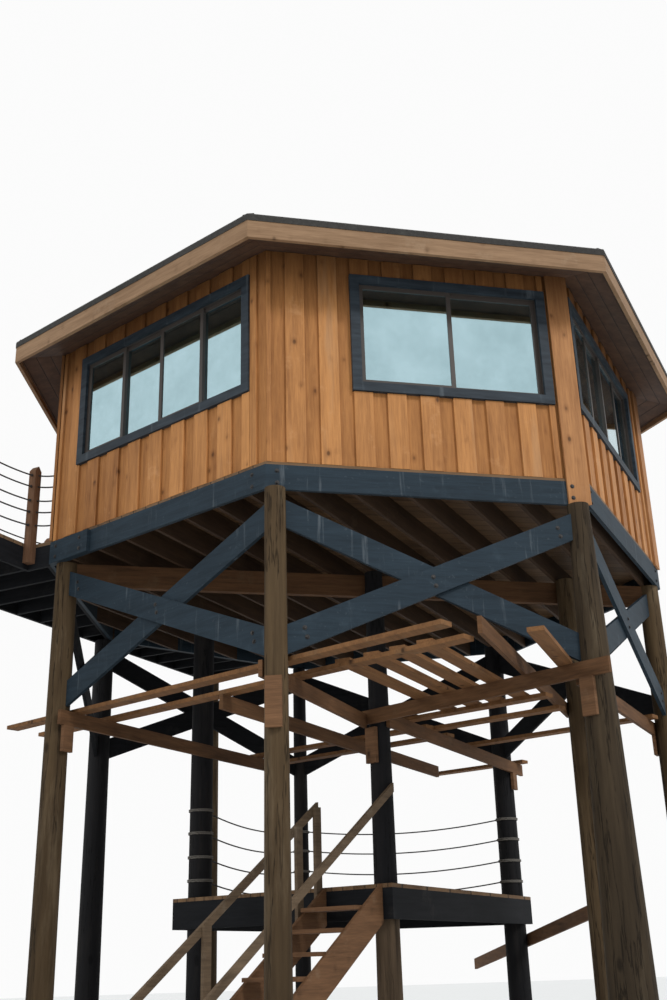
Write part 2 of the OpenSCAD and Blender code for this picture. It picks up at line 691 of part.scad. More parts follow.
// The entry deck and its walkway at floor level
deck_near = corner(1, apothem) + [-230, 190];
far_line = cross_at(deck_near, JOIST_WAY + 90, corner(2, apothem) + deck_neck * unit(JOIST_WAY + 90), JOIST_WAY);
deck_len = wall_run * 1.72;
function deck_spot(p, a, b) = p + a * unit(JOIST_WAY) + b * unit(JOIST_WAY + 90);
deck_end_near = deck_spot(deck_near, -walk_len, 0);
deck_end_far = deck_spot(far_line, -walk_len, 0);
deck_rear = deck_spot(far_line, deck_len, 0);
wall_edge = corner(2, apothem + FIT);
deck_wall_end = cross_at(deck_rear, JOIST_WAY + 90, wall_edge, HALF);
deck_outline = [deck_end_near, deck_near, corner(1, apothem + FIT), wall_edge, deck_wall_end, deck_rear, deck_end_far];

module deck_frame() color(BLACK) translate([0, 0, beam_z]) linear_extrude(beam_h) {
    difference() {
        polygon(deck_outline);
        polygon(inset(deck_outline, plank));
    }
    intersection() {
        polygon(inset(deck_outline, plank));
        translate(deck_near) rotate(JOIST_WAY + 90) for (i = [-20 : 14])
            translate([-FAR / 4, i * joist_step]) square([FAR / 2, plank]);
    }
}
module deck_boards() color(TIMBER) translate([0, 0, floor_z + FIT])
    linear_extrude(plank) polygon(deck_outline);

deck_post_places = [deck_spot(deck_rear, -80, -200), deck_spot(deck_end_near, 250, 150), deck_spot(deck_end_far, 250, -150)];
module deck_posts() color(LOG)
    for (p = deck_post_places) translate([p[0], p[1], 0])
        cylinder(d1 = post_d, d2 = post_top_d, h = beam_z - FIT, $fn = 64);

// Square railing posts with pointed heads outside the deck's edge
module rail_stake(p, way) {
    s = rail_post;
    low = beam_z + 57;
    high = floor_z + rail_up;
    translate([p[0], p[1], 0]) rotate([0, 0, way]) translate([-s / 2, -FIT, 0])
        rotate([90, 0, 0]) linear_extrude(s)
            polygon([[0, low], [s, low], [s, high - s * 0.6], [s / 2, high], [0, high - s * 0.6]]);
}
near_spots = [-rail_post / 2 - 5, -walk_len / 2, -walk_len + rail_post / 2];
far_spots = [-walk_len + rail_post / 2, -walk_len / 2, rail_post / 2, deck_len / 3, deck_len * 2 / 3, deck_len - rail_post / 2];
module deck_railing() color(FRESH) {
    for (a = near_spots) rail_stake(deck_spot(deck_near, a, 0), JOIST_WAY);
    for (a = far_spots) rail_stake(deck_spot(far_line, a, 0), JOIST_WAY + 180);
}

// A rope from p to q that sags in an arc
module rope(p, q, z) {
    run = norm(q - p);
    sag = run * rope_sag;
    r = run * run / 8 / sag + sag / 2;
    half = asin(run / 2 / r);
    translate([(p[0] + q[0]) / 2, (p[1] + q[1]) / 2, z - sag + r]) rotate([0, 0, heading(p, q)])
        rotate([90, 0, 0]) rotate([0, 0, -90 - half]) rotate_extrude(angle = 2 * half, $fn = 1440)
            translate([r, 0]) circle(d = rope_d, $fn = 24);
}
// A rope's tilted end keeps clear of what it is tied to
rope_end = FIT + rope_d * 0.075;
landing_ropes_up = [180, 430, 690, 940];
deck_ropes_up = [235, 385, 515, 675, 805];
module post_rope(i, j, z) {
    rope(toward(foot(i), foot(j), radius(i, z) + rope_end), toward(foot(j), foot(i), radius(j, z) + rope_end), z);
}
module stake_rope(base, a, b, side, z) {
    off = side * (rail_post / 2 + FIT);
    rope(deck_spot(base, a + rail_post / 2 + rope_end, off), deck_spot(base, b - rail_post / 2 - rope_end, off), z);
}
way_entry = heading(corner(1, apothem), corner(2, apothem));
module ropes() color(ROPE) {
    for (up = landing_ropes_up) {
        post_rope(INNER, REAR, landing_z + up);
        post_rope(REAR, REAR_RIGHT, landing_z + up);
    }
    for (up = deck_ropes_up) {
        z = floor_z + up;
        for (i = [0, 1]) stake_rope(deck_near, near_spots[i + 1], near_spots[i], -1, z);
        for (i = [0 : len(far_spots) - 2]) stake_rope(far_line, far_spots[i], far_spots[i + 1], 1, z);
        // From the first railing post to the corner board
        rope(deck_spot(deck_near, near_spots[0], -rail_post - FIT - rope_d * 0.27),
            corner(1, apothem) + 60 * unit(way_entry) + (corner_t + FIT + rope_end) * unit(way_entry + 90), z);
    }
}

post_front_left();
post_front_right();
side_posts();
rear_posts();
centre_post();
landing_post();
girder_post();
deck_posts();
ring_beams();
girder();
floor_joists();
cabin_floor();
braces_front();
braces_left();
braces_right();
braces_rear();
wall_front();
wall_left();
wall_entry();
walls_rear();
wall_right();
corner_boards();
window_front();
window_left();
window_right();
windows_rear();
window_glass();
entry_door();
roof_cover();
roof_rafters();
roof_soffit();
roof_fascia();
grid_bearers();
grid_planks();
grid_cleats();
low_brace();
landing_frame();
landing_boards();
stair_strings();
stair_treads();
stair_rails();
deck_frame();
deck_boards();
deck_railing();
ropes();
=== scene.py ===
import math
import random
import bpy
from mathutils import Matrix, Vector


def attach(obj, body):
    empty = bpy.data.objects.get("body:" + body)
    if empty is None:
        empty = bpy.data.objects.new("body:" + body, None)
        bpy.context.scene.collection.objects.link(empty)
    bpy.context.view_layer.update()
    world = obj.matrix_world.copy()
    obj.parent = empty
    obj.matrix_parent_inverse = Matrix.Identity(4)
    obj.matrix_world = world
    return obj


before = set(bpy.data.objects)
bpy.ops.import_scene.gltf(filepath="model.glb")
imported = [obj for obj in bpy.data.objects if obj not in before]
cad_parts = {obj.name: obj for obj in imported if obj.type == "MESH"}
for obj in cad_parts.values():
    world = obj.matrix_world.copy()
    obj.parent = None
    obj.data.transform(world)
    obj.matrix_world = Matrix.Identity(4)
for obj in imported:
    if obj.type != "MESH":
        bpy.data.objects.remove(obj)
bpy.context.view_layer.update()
print("frame loaded:", len(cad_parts), "nodes")

# the cabin's plan and beams, as the solids have them
cabin = dict(sides=7, wallRun=3.05, middle=(0.02013, 0.950075), beamLow=5.47, beamTop=5.705, beamDepth=0.235)
turn = 2 * math.pi / cabin["sides"]
half = turn / 2
apothem = cabin["wallRun"] / 2 / math.tan(half)
joistWay = turn
quarter = math.pi / 2


def wallMatrix(side):
    # x along the wall, y inwards from its outer face, z up
    spot = Matrix.Translation((cabin["middle"][0], cabin["middle"][1], 0))
    return spot @ Matrix.Rotation(-turn * side, 4, "Z") @ Matrix.Translation((0, -apothem, 0))


def corner(k):
    angle = -quarter - half - turn * k
    r = apothem / math.cos(half)
    return Vector((cabin["middle"][0] + r * math.cos(angle), cabin["middle"][1] + r * math.sin(angle)))


def clear():
    bpy.ops.object.select_all(action="DESELECT")


def shapeEdges(piece, width, segments=2):
    # rounded edges, made real
    mod = piece.modifiers.new("edges", "BEVEL")
    mod.width, mod.segments, mod.limit_method = width, segments, "ANGLE"
    clear()
    piece.select_set(True)
    bpy.context.view_layer.objects.active = piece
    bpy.ops.object.modifier_apply(modifier=mod.name)
    return piece


def addBoard(size, edge=0.003):
    clear()
    bpy.ops.mesh.primitive_cube_add(size=1)
    board = bpy.context.object
    board.scale = size
    bpy.ops.object.transform_apply(location=False, rotation=False, scale=True)
    return shapeEdges(board, edge)


def addCopy(piece, matrix):
    twin = piece.copy()
    twin.data = piece.data.copy()
    bpy.context.collection.objects.link(twin)
    twin.matrix_world = matrix
    return twin


def joinPieces(name, pieces, look):
    clear()
    for piece in pieces:
        piece.select_set(True)
    bpy.context.view_layer.objects.active = pieces[0]
    bpy.ops.object.join()
    whole = bpy.context.object
    whole.name = whole.data.name = name
    bpy.context.view_layer.update()
    bpy.ops.object.transform_apply(location=True, rotation=True, scale=True)
    whole.data.materials.clear()
    whole.data.materials.append(look)
    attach(whole, "root")


# shader maths: a socket that takes + - * / as Math nodes
class Value:
    def __init__(self, look, socket):
        self.look, self.socket = look, socket

    def math(self, operation, *others):
        return self.look.add("ShaderNodeMath", dict(operation=operation), [self, *others])

    def __add__(self, other):
        return self.math("ADD", other)

    def __mul__(self, other):
        return self.math("MULTIPLY", other)

    def __sub__(self, other):
        return self.math("SUBTRACT", other)

    def __truediv__(self, other):
        return self.math("DIVIDE", other)

    def __rsub__(self, other):
        return self.look.add("ShaderNodeMath", dict(operation="SUBTRACT"), [other, self])

    __radd__, __rmul__ = __add__, __mul__

    def fade(self, low, high):
        # 0 below low, 1 above high
        return self.look.add("ShaderNodeMapRange", dict(interpolation_type="SMOOTHSTEP"), [self, low, high, 0.0, 1.0])


class Look:
    def __init__(self, name):
        self.material = bpy.data.materials.new(name)
        self.material.use_nodes = True
        self.nodes, self.links = self.material.node_tree.nodes, self.material.node_tree.links
        self.shader = self.nodes["Principled BSDF"]
        self.place = self.add("ShaderNodeTexCoord", {}, [], "Object")

    def add(self, kind, settings, values, out=0):
        node = self.nodes.new(kind)
        for key, value in settings.items():
            if key == "stops":
                while len(node.color_ramp.elements) < len(value):
                    node.color_ramp.elements.new(0.5)
                for stop, (spot, colour) in zip(node.color_ramp.elements, value):
                    stop.position, stop.color = spot, (*colour, 1)
            else:
                setattr(node, key, value)
        pairs = values.items() if isinstance(values, dict) else enumerate(values)
        for key, value in pairs:
            if isinstance(value, Value):
                self.links.new(value.socket, node.inputs[key])
            elif value is not None:
                node.inputs[key].default_value = value
        return Value(self, node.outputs[out])

    def mapped(self, scale, angle=0.0, source=None):
        turned = self.add("ShaderNodeMapping", {}, {"Vector": source or self.place, "Rotation": (0, 0, -angle)})
        return self.add("ShaderNodeMapping", {}, {"Vector": turned, "Scale": scale})

    def noise(self, vector, scale=1.0, detail=4.0, rough=0.55):
        values = {"Vector": vector, "Scale": scale, "Detail": detail, "Roughness": rough}
        return self.add("ShaderNodeTexNoise", {}, values)

    def cells(self, vector):
        # distance to the nearest of many scattered points
        return self.add("ShaderNodeTexVoronoi", {}, {"Vector": vector, "Scale": 1.0}, "Distance")

    def chance(self, step):
        # one shade for each whole step
        return self.add("ShaderNodeTexWhiteNoise", dict(noise_dimensions="1D"), {"W": step}, "Value")

    def part(self, vector, axis):
        return self.add("ShaderNodeSeparateXYZ", {}, [vector], axis)

    def ramp(self, value, *stops):
        return self.add("ShaderNodeValToRGB", dict(stops=stops), [value])

    def mix(self, factor, first, second):
        fit = lambda c: (*c, 1) if isinstance(c, tuple) and len(c) == 3 else c
        return self.add("ShaderNodeMix", dict(data_type="RGBA"), {0: factor, 6: fit(first), 7: fit(second)}, 2)

    def finish(self, colour, rough, height=None, depth=0.002, **settings):
        for name, value in (("Base Color", colour), ("Roughness", rough)):
            if isinstance(value, Value):
                self.links.new(value.socket, self.shader.inputs[name])
            else:
                self.shader.inputs[name].default_value = (*value, 1) if isinstance(value, tuple) else value
        if height:
            bump = self.add("ShaderNodeBump", {}, {"Height": height, "Distance": depth, "Strength": 0.9})
            self.links.new(bump.socket, self.shader.inputs["Normal"])
        for name, value in settings.items():
            self.shader.inputs[name.replace("_", " ")].default_value = value
        return self.material


def darker(colour, share):
    return tuple(c * share for c in colour)


def timberLook(name, dark, light, grain, angle=0.0, rough=0.78, streak=0.0, board=0.0, worn=(0.5, 0.42, 0.33),
               wear=0.25, sheen=0.18, knots=False, toned=False, shade=None):
    # grain is the stretch of the pattern; board is the width of laid boards, 0 for none;
    # toned boards carry their own shade as an attribute; shade is the height band over which
    # painted shade darkens the stain toward the top of the wall, under the eaves
    look = Look(name)
    local = look.mapped((1, 1, 1), angle)
    fibre = look.noise(look.mapped(grain, 0, local), 1.0, 6, 0.62)
    thread = look.noise(look.mapped(tuple(g * 4 for g in grain), 0, local), 1.0, 3)
    patch = look.noise(look.place, 0.9, 3)
    tone = fibre * 0.55 + thread * 0.2 + patch * 0.35
    height = fibre * 0.7 + thread * 0.3
    if board:
        across = look.part(local, "Y") / board
        step = across.math("FLOOR")
        own = look.chance(step)
        gap = (across - step - 0.5).math("ABSOLUTE").fade(0.46, 0.49)
        tone = tone + (own - 0.5) * 0.22
        height = height - gap * 4
    if toned:
        own = look.add("ShaderNodeAttribute", dict(attribute_name="boardTone"), [], "Fac")
        tone = tone + (own - 0.5) * 0.2
    if knots:
        cells = look.cells(look.mapped((6.6, 6.6, 4.2), 0, local))
        some = look.noise(look.place, 2.3, 2).fade(0.44, 0.56)  # only some cells hold a knot
        heart, halo = (1 - cells.fade(0.05, 0.15)) * some, (1 - cells.fade(0.08, 0.32)) * some
        tone = tone - halo * 0.14
    colour = look.ramp(tone, (0.3, dark), (0.72, light))
    rub = look.noise(look.place, 3.2, 5, 0.7).fade(0.56, 0.72) * wear
    colour = look.mix(rub, colour, worn)
    if toned:
        grey = look.noise(look.mapped((7, 7, 0.7)), 1.0, 4).fade(0.5, 0.72) * own.fade(0.35, 0.95)
        colour = look.mix(grey * 0.55, colour, tuple(c * s for c, s in zip(light, (0.78, 0.98, 1.5))))
    if knots:
        colour = look.mix(heart * 0.75, colour, darker(dark, 0.3))
        height = height - heart * 0.5
    # painted shade: the colour darkens toward the top of the wall, where the eaves shade it
    if shade:
        eave = look.part(look.place, "Z").fade(*shade)
        colour = look.mix(eave * 0.7, colour, darker(dark, 0.3))
    if streak:
        run = look.noise(look.mapped((16, 16, 1.1)), 1.0, 5, 0.65).fade(0.58, 0.72)
        spots = look.noise(look.place, 26, 2).fade(0.66, 0.74) * 0.5
        colour = look.mix(run * streak + spots * streak * 0.6, colour, (0.42, 0.46, 0.49))
    if board:
        colour = look.mix(gap, colour, (0.02, 0.016, 0.012))
    return look.finish(colour, thread * 0.12 + (rough - 0.06), height, 0.0025, Specular_IOR_Level=sheen)


def logLook(name, dark, light, worn, wear, bare=False):
    # painted shade darkens the logs toward the ground, and a bare one is left unpainted below the landing
    look = Look(name)
    fibre = look.noise(look.mapped((16, 16, 0.9)), 1.0, 7, 0.65)
    ring = look.noise(look.mapped((3, 3, 0.5)), 1.0, 3)
    split = (look.noise(look.mapped((7, 7, 0.35)), 1.0, 5, 0.6) - 0.5).math("ABSOLUTE").fade(0.0, 0.012)
    knot = look.cells(look.mapped((3.4, 3.4, 1.7))).fade(0.05, 0.13)
    colour = look.ramp(fibre * 0.6 + ring * 0.4, (0.32, dark), (0.7, light))
    pale = look.noise(look.mapped((5, 5, 0.6)), 1.0, 6, 0.7).fade(0.5, 0.68) * wear
    colour = look.mix(pale, colour, worn)
    colour = look.mix((1 - knot) * 0.75, colour, darker(dark, 0.4))
    colour = look.mix((1 - split) * 0.7, colour, darker(dark, 0.3))
    height = look.part(look.place, "Z")
    # painted shade: the log's colour darkens toward the ground
    colour = look.mix((1 - height.fade(0.4, 4.6)) * 0.5, colour, darker(dark, 0.5))
    if bare:
        plain = look.ramp(fibre, (0.32, (0.030, 0.020, 0.012)), (0.7, (0.115, 0.078, 0.048)))
        colour = look.mix(1 - height.fade(1.99, 2.02), colour, plain)
    relief = fibre * 0.5 + split * 1.2 + knot * 0.4
    return look.finish(colour, fibre * 0.15 + 0.72, relief, 0.006, Specular_IOR_Level=0.15)


def sideField(look):
    # distance in from the seven outer faces, in metres
    x = look.part(look.place, "X") - cabin["middle"][0]
    y = look.part(look.place, "Y") - cabin["middle"][1]
    reach = None
    for side in range(cabin["sides"]):
        angle = -quarter - turn * side
        out = x * math.cos(angle) + y * math.sin(angle)
        reach = out if reach is None else reach.math("MAXIMUM", out)
    return apothem - reach


def windowLook():
    # blue-grey trim outside, dark bronze sashes deeper in
    look = Look("windowPaint")
    inner = sideField(look).fade(0.012, 0.014)
    fibre = look.noise(look.mapped((3, 3, 22)), 1.0, 5)
    run = look.noise(look.mapped((9, 9, 1.2)), 1.0, 4).fade(0.57, 0.72) * 0.3
    trim = look.ramp(fibre, (0.3, (0.009, 0.014, 0.020)), (0.7, (0.030, 0.042, 0.054)))
    trim = look.mix(run, trim, (0.15, 0.18, 0.20))
    colour = look.mix(inner, trim, (0.052, 0.043, 0.038))
    return look.finish(colour, 0.62 - inner * 0.2, fibre, 0.001, Specular_IOR_Level=0.25)


def soffitLook():
    # narrow boards that run round the eave
    look = Look("soffitStain")
    across = sideField(look) / 0.14
    step = across.math("FLOOR")
    gap = (across - step - 0.5).math("ABSOLUTE").fade(0.465, 0.49)
    shade = look.chance(step)
    fibre = look.noise(look.mapped((7, 7, 7)), 1.0, 6, 0.7)
    colour = look.ramp(fibre * 0.7 + shade * 0.3, (0.3, (0.055, 0.025, 0.013)), (0.72, (0.15, 0.075, 0.038)))
    colour = look.mix(gap, colour, (0.01, 0.006, 0.004))
    return look.finish(colour, 0.7, fibre * 0.4 - gap * 3, 0.003)


def shingleLook():
    # u runs along the wall and v counts the courses
    look = Look("roofShingles")
    spot = look.add("ShaderNodeUVMap", {}, [])
    u, v = look.part(spot, "X"), look.part(spot, "Y")
    course = v.math("FLOOR")
    along = u / 0.17 + course * 0.37
    tab = along.math("FLOOR")
    slit = (along - tab - 0.5).math("ABSOLUTE").fade(0.455, 0.485)
    pair = look.add("ShaderNodeCombineXYZ", {}, [tab, course])
    shade = look.add("ShaderNodeTexWhiteNoise", dict(noise_dimensions="2D"), {"Vector": pair}, "Value")
    grit = look.noise(look.place, 90, 3)
    moss = look.noise(look.place, 1.6, 6, 0.7).fade(0.52, 0.7) * 0.5
    colour = look.ramp(shade * 0.6 + grit * 0.4, (0.15, (0.030, 0.028, 0.027)), (0.85, (0.085, 0.08, 0.075)))
    colour = look.mix(moss, colour, (0.10, 0.105, 0.075))
    colour = look.mix(slit, colour, (0.01, 0.01, 0.01))
    return look.finish(colour, 0.85, grit * 0.3 - slit * 2, 0.004)


def ropeLook(name, dark, light):
    look = Look(name)
    along = look.part(look.mapped((1, 1, 1), joistWay), "X") + look.part(look.place, "Z") * 1.3
    twist = (along * 420).math("SINE")
    fuzz = look.noise(look.place, 140, 3)
    colour = look.ramp(twist * 0.3 + fuzz * 0.7, (0.2, dark), (0.8, light))
    return look.finish(colour, 0.9, twist * 0.6 + fuzz * 0.4, 0.0015)


def glassLook():
    # tinted panes that mirror what stands before them and let a little through
    look = Look("windowGlass")
    haze = look.noise(look.place, 2.6, 5, 0.6)
    colour = look.ramp(haze, (0.3, (0.42, 0.60, 0.65)), (0.7, (0.52, 0.72, 0.78)))
    look.material.surface_render_method = "DITHERED"
    return look.finish(colour, haze * 0.04 + 0.01, Alpha=0.84, Metallic=1.0)


def steelLook():
    look = Look("boltSteel")
    stain = look.noise(look.place, 60, 4)
    colour = look.ramp(stain, (0.35, (0.014, 0.014, 0.016)), (0.7, (0.07, 0.066, 0.062)))
    return look.finish(colour, stain * 0.3 + 0.45, stain, 0.0005, Metallic=0.6)


# the way the grain runs, as the stretch of its pattern along x, y and z
level, upright, alongX = (1.6, 1.6, 20), (18, 18, 1.3), (1.4, 17, 17)
# height band over which painted shade darkens the walls, boards and edges under the eaves
eaveShadeBand = (7.15, 8.0)
laidBoard = 0.14
blackPaint = ((0.006, 0.0062, 0.0075), (0.019, 0.018, 0.019), (0.055, 0.046, 0.038), 0.25)
looks = dict(
    log=logLook("weatheredLog", (0.035, 0.021, 0.010), (0.125, 0.082, 0.042), (0.21, 0.155, 0.095), 0.4),
    stoutLog=logLook("brownLog", (0.020, 0.013, 0.0072), (0.085, 0.060, 0.035), (0.15, 0.119, 0.078), 0.35),
    blackLog=logLook("blackLog", *blackPaint),
    halfLog=logLook("halfPaintedLog", *blackPaint, bare=True),
    blackBeam=timberLook("blackBeam", (0.004, 0.0046, 0.0055), (0.014, 0.0148, 0.017), level,
                         worn=(0.05, 0.046, 0.042), wear=0.22, sheen=0.1),
    slate=timberLook("slatePaint", (0.009, 0.0155, 0.022), (0.025, 0.041, 0.056), level,
                     worn=(0.05, 0.075, 0.095), rough=0.6, streak=0.13, sheen=0.12),
    brown=timberLook("brownTimber", (0.042, 0.020, 0.009), (0.16, 0.078, 0.035), level,
                     worn=(0.17, 0.115, 0.068)),
    # painted shade: the joists and rafters are a darker copy of the brown timber, standing for the shade under the
    # floor and roof
    joist=timberLook("shadedJoistTimber", (0.020, 0.011, 0.006), (0.075, 0.042, 0.023), alongX, joistWay,
                     worn=(0.13, 0.09, 0.058)),
    floor=timberLook("floorBoards", (0.060, 0.033, 0.016), (0.17, 0.098, 0.048), alongX,
                     worn=(0.2, 0.14, 0.085), rough=0.55, board=laidBoard),
    decking=timberLook("deckBoards", (0.075, 0.042, 0.022), (0.20, 0.125, 0.07), alongX, joistWay + quarter,
                       worn=(0.27, 0.21, 0.15), board=laidBoard),
    landing=timberLook("landingBoards", (0.075, 0.040, 0.020), (0.21, 0.125, 0.065), alongX, quarter - turn,
                       worn=(0.26, 0.2, 0.14), board=laidBoard),
    fresh=timberLook("sawnTimber", (0.075, 0.034, 0.014), (0.25, 0.120, 0.048), alongX, joistWay,
                     worn=(0.19, 0.128, 0.072), wear=0.35, knots=True),
    rail=timberLook("railTimber", (0.065, 0.030, 0.016), (0.20, 0.105, 0.058), upright,
                    worn=(0.26, 0.18, 0.12), wear=0.3),
    greyRail=timberLook("greyRail", (0.060, 0.040, 0.025), (0.18, 0.125, 0.078), level,
                        worn=(0.25, 0.205, 0.15), wear=0.4),
    stair=timberLook("stairTimber", (0.062, 0.031, 0.015), (0.20, 0.102, 0.050), level,
                     worn=(0.24, 0.165, 0.105), wear=0.35, knots=True),
    # painted shade: the recessed wall behind the raised boards is a touch darker than the boards, which carry the
    # same stain
    wall=timberLook("wallStain", (0.19, 0.070, 0.020), (0.46, 0.205, 0.066), upright,
                    worn=(0.5, 0.25, 0.11), rough=0.66, knots=True, shade=eaveShadeBand),
    siding=timberLook("boardStain", (0.20, 0.076, 0.022), (0.52, 0.236, 0.078), upright,
                      worn=(0.58, 0.31, 0.14), wear=0.4, rough=0.6, knots=True, toned=True, shade=eaveShadeBand),
    edge=timberLook("edgeStain", (0.20, 0.080, 0.028), (0.47, 0.225, 0.088), upright,
                    worn=(0.52, 0.30, 0.16), rough=0.62, knots=True, shade=eaveShadeBand),
    fascia=timberLook("fasciaStain", (0.15, 0.082, 0.040), (0.33, 0.205, 0.117), level,
                      worn=(0.40, 0.29, 0.19), rough=0.66, knots=True),
    # painted shade: the railing ropes and their knots are a dark copy of the rope colour, standing for rope in shade;
    # the turns on the landing logs keep the paler rope colour
    rope=ropeLook("shadedRope", (0.012, 0.011, 0.011), (0.07, 0.062, 0.055)),
    paleRope=ropeLook("paleRope", (0.08, 0.072, 0.062), (0.26, 0.24, 0.21)),
    window=windowLook(), soffit=soffitLook(), shingle=shingleLook(), glass=glassLook(), steel=steelLook(),
    roofEdge=timberLook("roofFelt", (0.022, 0.021, 0.02), (0.06, 0.057, 0.053), (30, 30, 30),
                        worn=(0.1, 0.1, 0.09), rough=0.9))

nodeLooks = dict(
    log="post_front_left side_posts girder_post deck_posts", stoutLog="post_front_right",
    blackLog="rear_posts landing_post", halfLog="centre_post", blackBeam="braces_rear landing_frame deck_frame",
    slate="ring_beams braces_front braces_left braces_right", brown="girder low_brace grid_bearers",
    joist="floor_joists roof_rafters", floor="cabin_floor", decking="deck_boards", landing="landing_boards",
    fresh="grid_planks", rail="deck_railing", stair="stair_strings stair_treads grid_cleats", greyRail="stair_rails",
    wall="wall_front wall_left wall_entry walls_rear wall_right", edge="corner_boards entry_door",
    window="window_front window_left window_right windows_rear", glass="window_glass", rope="ropes",
    fascia="roof_fascia", soffit="roof_soffit", roofEdge="roof_cover")
for lookName, names in nodeLooks.items():
    for name in names.split():
        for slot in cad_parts[name].material_slots:
            slot.link = "OBJECT"
            slot.material = looks[lookName]
print("materials assigned")

# raised boards of the walls, cut round windows and door; end is half a wall's outer run,
# last is where boards stop short of the next corner's board
siding = dict(width=0.184, thick=0.025, first=-1.56, step=0.32, count=10, low=5.733, high=7.947,
              gap=0.003, sliver=0.03, least=0.05, last=1.31, end=1.512)
upperWindow = (6.5, 7.755)
openings = {0: (-0.702, 1.288, *upperWindow), 1: (-1.175, 1.325, *upperWindow), 2: (-0.092, 0.952, 5.6, 7.852),
            3: (-0.995, 0.995, *upperWindow), 4: (-0.995, 0.995, *upperWindow), 5: (-0.995, 0.995, *upperWindow),
            6: (-1.475, 1.025, *upperWindow)}


def boardRuns(side, left, right):
    # the stretches of one board that lie outside the opening
    x0, x1, z0, z1 = openings[side]
    low, high, gap = siding["low"], siding["high"], siding["gap"]
    if right <= x0 or left >= x1:
        return [(left, right, low, high)]
    runs = []
    if left < x0 - siding["sliver"]:
        runs.append((left, x0 - gap, low, high))
    if right > x1 + siding["sliver"]:
        runs.append((x1 + gap, right, low, high))
    a, b = max(left, x0), min(right, x1)
    if z0 - gap > low:
        runs.append((a, b, low, z0 - gap))
    runs.append((a, b, z1 + gap, high))
    return runs


draw = random.Random(11)


def toneBoard(board):
    # a shade of its own for each board
    shade = draw.random()
    field = board.data.attributes.new("boardTone", "FLOAT", "POINT")
    field.data.foreach_set("value", [shade] * len(board.data.vertices))


def buildSiding(side):
    matrix = wallMatrix(side)
    limit = siding["end"] if side == 1 else siding["last"]
    pieces = []
    for i in range(siding["count"]):
        left = siding["first"] + siding["step"] * i - siding["width"] / 2
        right = min(left + siding["width"], limit)
        if right - left < siding["least"]:
            continue
        for a, b, low, high in boardRuns(side, max(left, -siding["end"]), right):
            board = addBoard((b - a, siding["thick"], high - low))
            board.matrix_world = matrix @ Matrix.Translation(((a + b) / 2, siding["thick"] / 2, (low + high) / 2))
            toneBoard(board)
            pieces.append(board)
    joinPieces("siding_%d" % side, pieces, looks["siding"])


for side in range(cabin["sides"]):
    buildSiding(side)
print("siding boards built")

# shingle courses and hip caps, inside the roof's own height; lift is how high a piece lies on the
# boards at its low and its high end, and hub is the space left at the top
roof = dict(eave=0.485, pitch=0.333, top=8.146, course=0.19, lap=0.03, thick=0.013, thin=0.004, bed=0.0005,
            hub=0.1, capWidth=0.11, capLift=(0.014, 0.010), capThick=0.008, capCount=17, capLap=0.02)


def roofHeight(y):
    return roof["top"] + y * roof["pitch"]


def shapeWedge(points):
    # a cube whose corners are drawn to eight places, lower four first
    clear()
    bpy.ops.mesh.primitive_cube_add(size=1)
    wedge = bpy.context.object
    order = sorted(wedge.data.vertices, key=lambda v: (v.co.z, v.co.y, v.co.x))
    for vertex, spot in zip(order, points):
        vertex.co = spot
    return wedge


def courseWedge(index):
    y0 = -roof["eave"] + 0.002 + index * roof["course"]
    y1 = min(y0 + roof["course"] + roof["lap"], apothem - roof["hub"])

    def row(y, lift):
        reach = (apothem - y) * math.tan(half) - 0.001
        return [(-reach, y, roofHeight(y) + lift), (reach, y, roofHeight(y) + lift)]
    bed = roof["bed"]
    wedge = shapeWedge(row(y0, bed) + row(y1, bed) + row(y0, roof["thick"]) + row(y1, roof["thin"]))
    uv = wedge.data.uv_layers.active or wedge.data.uv_layers.new()
    for loop in wedge.data.loops:
        spot = wedge.data.vertices[loop.vertex_index].co
        uv.data[loop.index].uv = (spot.x + 5, index + 0.5)  # 5 keeps u above 0
    return shapeEdges(wedge, 0.002, 1)


courseCount = int((apothem + roof["eave"] - roof["hub"] - 0.02) / roof["course"]) + 1
courses = [courseWedge(i) for i in range(courseCount)]
for side in range(cabin["sides"]):
    joinPieces("shingles_%d" % side, [addCopy(c, wallMatrix(side)) for c in courses], looks["shingle"])
for course in courses:
    bpy.data.objects.remove(course)


def hipCap(start, end):
    # a short folded cap over the hip, in the frame of the hip
    wing = roof["capWidth"] / 2
    drop = wing * math.sin(half) * roof["pitch"]

    def row(r, lift):
        z = roof["top"] + (apothem - r * math.cos(half)) * roof["pitch"] + lift - drop
        return [Vector((r, -wing, z)), Vector((r, wing, z))]
    under = row(start, roof["capLift"][0]) + row(end, roof["capLift"][1])
    cap = shapeWedge(under + [spot + Vector((0, 0, roof["capThick"])) for spot in under])
    clear()
    cap.select_set(True)
    bpy.context.view_layer.objects.active = cap
    bpy.ops.object.mode_set(mode="EDIT")
    bpy.ops.mesh.select_all(action="SELECT")
    bpy.ops.mesh.bisect(plane_co=(0, 0, 0), plane_no=(0, 1, 0))
    bpy.ops.object.mode_set(mode="OBJECT")
    for vertex in cap.data.vertices:
        if abs(vertex.co.y) < 1e-4:
            vertex.co.z += drop
    return cap


caps = []
rim = (apothem + roof["eave"]) / math.cos(half)
capStep = (rim - 0.2) / roof["capCount"]
for k in range(cabin["sides"]):
    spin = Matrix.Translation((*cabin["middle"], 0)) @ Matrix.Rotation(-quarter - half - turn * k, 4, "Z")
    for i in range(roof["capCount"]):
        start = rim - 0.03 - i * capStep
        cap = hipCap(start, start - capStep - roof["capLap"])
        cap.matrix_world = spin
        caps.append(cap)
joinPieces("hip_caps", caps, looks["roofEdge"])
print("roof courses built")

# bolts with washers on the ring beams, the doubler and the braces; ends and doubler are places
# along a wall, and rows their heights
bolt = dict(headR=0.013, headH=0.009, washerR=0.021, washerH=0.003, ends=(-1.42, 1.36), doubler=(-1.40, -1.02),
            rows=(5.53, 5.645), doublerFace=-0.0383, raisedFace=-0.0253)


